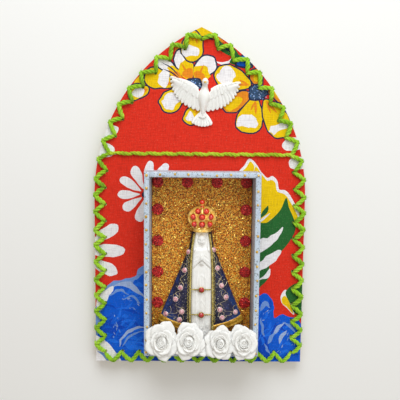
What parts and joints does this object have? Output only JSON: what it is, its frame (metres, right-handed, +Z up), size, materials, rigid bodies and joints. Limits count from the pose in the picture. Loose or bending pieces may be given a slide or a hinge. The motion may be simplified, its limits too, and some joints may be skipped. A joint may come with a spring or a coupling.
{
  "type": "fabric chapel shrine",
  "caption": "Wall shrine of a cloth-faced pointed board with whip-stitched edges, a box niche holding a crowned figure among roses, and a dove above.",
  "frame": {"origin": "on the flat back that lies against the wall, on the arch's middle line, 95 mm above the board's bottom edge", "axes": "+Z up, +X to the right as the viewer sees it, the front faces -Y"},
  "size_m": [0.1278, 0.0352, 0.2007],
  "materials": {
    "board": "bare board, matt",
    "calico": "printed floral calico, plain weave, matt",
    "lining": "felt, matt",
    "lime_yarn": "twisted yarn, soft and matt",
    "niche_paint": "pale blue paint, satin",
    "niche_panel": "bare panel, matt",
    "gold_glitter": "gold glitter card, sparkling",
    "red_glitter": "red glitter card, sparkling",
    "gown": "cast resin painted white, satin",
    "mantle": "cast resin painted navy with a gold hem, satin",
    "gold_braid": "metallic braid",
    "red_stone": "faceted acrylic stone, clear gloss",
    "pink_stone": "faceted acrylic stone, clear gloss",
    "crown": "cast resin painted gold, with red beads",
    "rose": "cast resin, white, matt",
    "dove": "cast resin, white, matt"
  },
  "bodies": {
    "root": {"backing_board": "board", "fabric_cover": "calico", "back_lining": "lining", "edge_yarn_first": "lime_yarn", "edge_yarn_return": "lime_yarn", "cross_yarn": "lime_yarn", "niche_wall_left": "niche_paint", "niche_wall_right": "niche_paint", "niche_wall_top": "niche_paint", "niche_wall_bottom": "niche_paint", "niche_back": "niche_panel", "glitter_card": "gold_glitter", "red_glitter_dot_01": "red_glitter", "red_glitter_dot_02": "red_glitter", "red_glitter_dot_03": "red_glitter", "red_glitter_dot_04": "red_glitter", "red_glitter_dot_05": "red_glitter", "red_glitter_dot_06": "red_glitter", "red_glitter_dot_07": "red_glitter", "red_glitter_dot_08": "red_glitter", "red_glitter_dot_09": "red_glitter", "red_glitter_dot_10": "red_glitter", "red_glitter_dot_11": "red_glitter", "red_glitter_dot_12": "red_glitter", "figure_gown": "gown", "figure_mantle": "mantle", "mantle_trim_left": "gold_braid", "mantle_trim_right": "gold_braid", "gown_cord_upper": "gold_braid", "gown_cord_lower": "gold_braid", "gown_gem_upper": "red_stone", "gown_gem_lower": "red_stone", "mantle_gem_01": "pink_stone", "mantle_gem_02": "pink_stone", "mantle_gem_03": "pink_stone", "mantle_gem_04": "pink_stone", "mantle_gem_05": "pink_stone", "mantle_gem_06": "pink_stone", "mantle_gem_07": "pink_stone", "mantle_gem_08": "pink_stone", "mantle_gem_09": "pink_stone", "mantle_gem_10": "pink_stone", "mantle_gem_11": "pink_stone", "mantle_gem_12": "pink_stone", "mantle_gem_13": "pink_stone", "mantle_gem_14": "pink_stone", "crown": "crown", "rose_1_petals": "rose", "rose_1_bud": "rose", "rose_2_petals": "rose", "rose_2_bud": "rose", "rose_3_petals": "rose", "rose_3_bud": "rose", "rose_4_petals": "rose", "rose_4_bud": "rose", "dove": "dove"}
  },
  "joints": []
}
